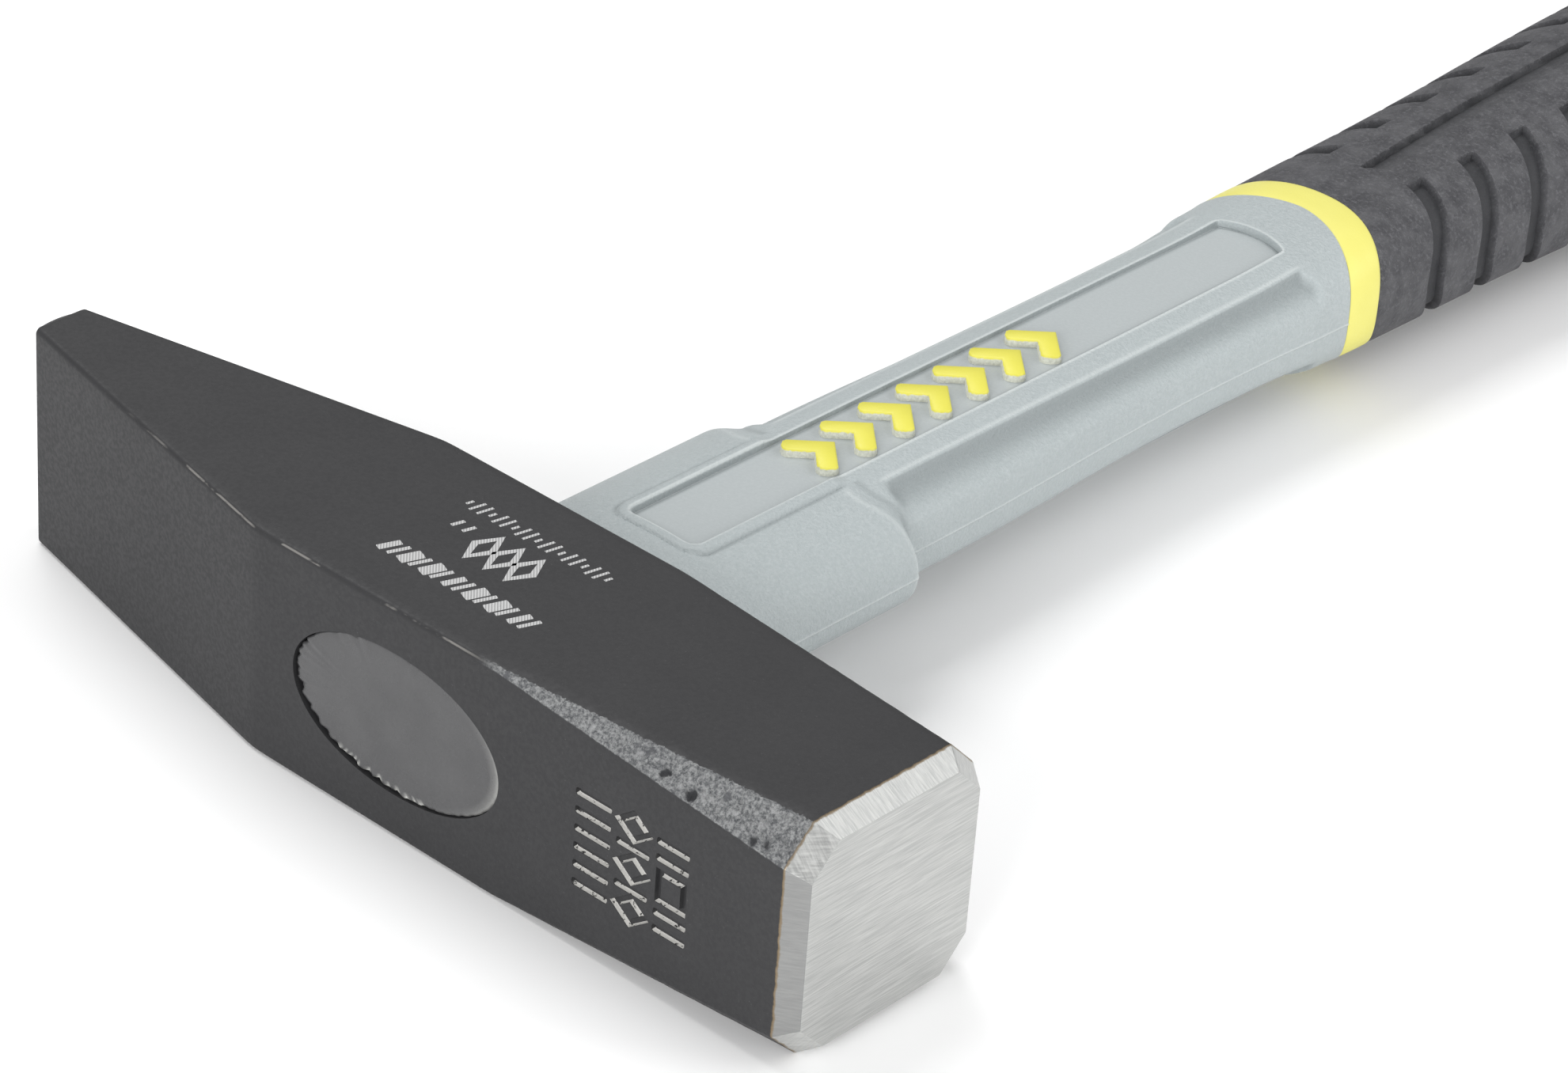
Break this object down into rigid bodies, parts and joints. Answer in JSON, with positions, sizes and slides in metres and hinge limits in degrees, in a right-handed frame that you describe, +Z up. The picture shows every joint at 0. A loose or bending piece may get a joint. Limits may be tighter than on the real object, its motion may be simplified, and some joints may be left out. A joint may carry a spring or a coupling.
{
  "type": "engineer's cross-pein hammer",
  "caption": "Cross-pein engineer's hammer with a square bevelled striking face, wedge pein, oval eye filled with resin, and a slim moulded fibre-cored handle with a soft rubber grip.",
  "frame": {"origin": "on the resting plane, straight below the middle of the eye", "axes": "the hammer lies on one cheek; X along the head with the striking face at +X, Y along the handle with the butt at +Y, Z up"},
  "size_m": [0.1221, 0.32, 0.027],
  "materials": {
    "head": "forged steel, matte black lacquer, ground bright striking face",
    "eye_fill": "semi-gloss dark grey cast resin",
    "core": "pulled glass-fibre rod",
    "jacket": "fine-grained light grey polypropylene",
    "badge_marks": "satin lemon yellow",
    "band": "satin lemon yellow",
    "grip": "charcoal soft rubber with a fine spark-eroded grain"
  },
  "bodies": {
    "root": {"head": "head", "eye_fill": "eye_fill", "core": "core", "jacket": "jacket", "badge_marks": "badge_marks", "band": "band", "grip": "grip"}
  },
  "joints": []
}
